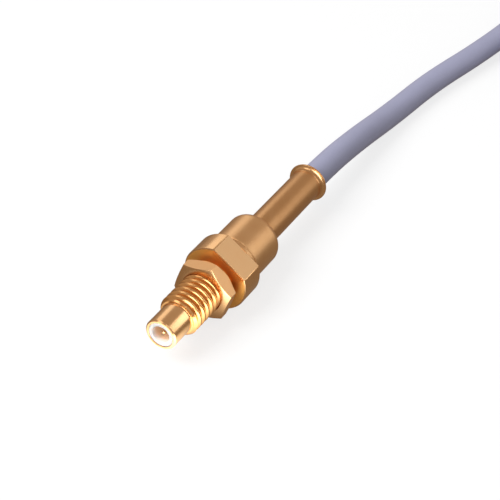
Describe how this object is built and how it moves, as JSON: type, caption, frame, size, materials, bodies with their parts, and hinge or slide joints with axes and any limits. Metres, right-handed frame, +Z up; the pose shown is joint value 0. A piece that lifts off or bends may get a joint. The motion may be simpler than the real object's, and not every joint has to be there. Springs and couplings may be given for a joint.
{
  "type": "threaded coaxial panel jack with cable",
  "caption": "Gold-plated threaded coaxial panel jack: round nose, 10-32 thread with nut, flatted flange, rounded shell and crimp ferrule, on a short coiled cable.",
  "frame": {"origin": "on the connector's axis, in the plane of the flange's front face, which seats on the panel", "axes": "+Y along the axis towards the cable, so the nose faces -Y; +Z up from the surface the jack lies on"},
  "size_m": [0.0366, 0.1257, 0.008],
  "materials": {
    "gold_plate": "satin gold plating over turned brass",
    "contact_gold": "bright gold plating",
    "ptfe": "machined white PTFE",
    "jacket": "smooth lavender-grey cable jacket",
    "braid": "silver-plated copper braid",
    "conductor": "silver-plated solid wire",
    "tie": "natural nylon"
  },
  "bodies": {
    "connector": {"body": "gold_plate", "rear_sleeve": "gold_plate", "front_insulator": "ptfe", "rear_insulator": "ptfe", "contact_pin": "contact_gold", "crimp_ferrule": "gold_plate", "cable_braid": "braid", "cable_dielectric": "ptfe", "cable_conductor": "conductor", "cable": "jacket", "cable_coil": "jacket", "coil_tie": "tie", "end_braid": "braid", "end_dielectric": "ptfe", "end_conductor": "conductor"},
    "washer": {"lock_washer": "gold_plate"},
    "nut": {"hex_nut": "gold_plate"}
  },
  "joints": [
    {"name": "washer_slide", "type": "slide", "parent": "connector", "child": "washer", "axis": [0, 1, 0], "range_m": [-0.0048, 0.00083]},
    {"name": "nut_spin", "type": "hinge", "parent": "washer", "child": "nut", "pos_m": [0, -0.00208, 0], "axis": [0, 1, 0], "range_deg": [-2180, 380]}
  ],
  "couplings": [
    {"joint": "nut_spin", "follows": "washer_slide", "rad_per_m": 7915.8}
  ]
}
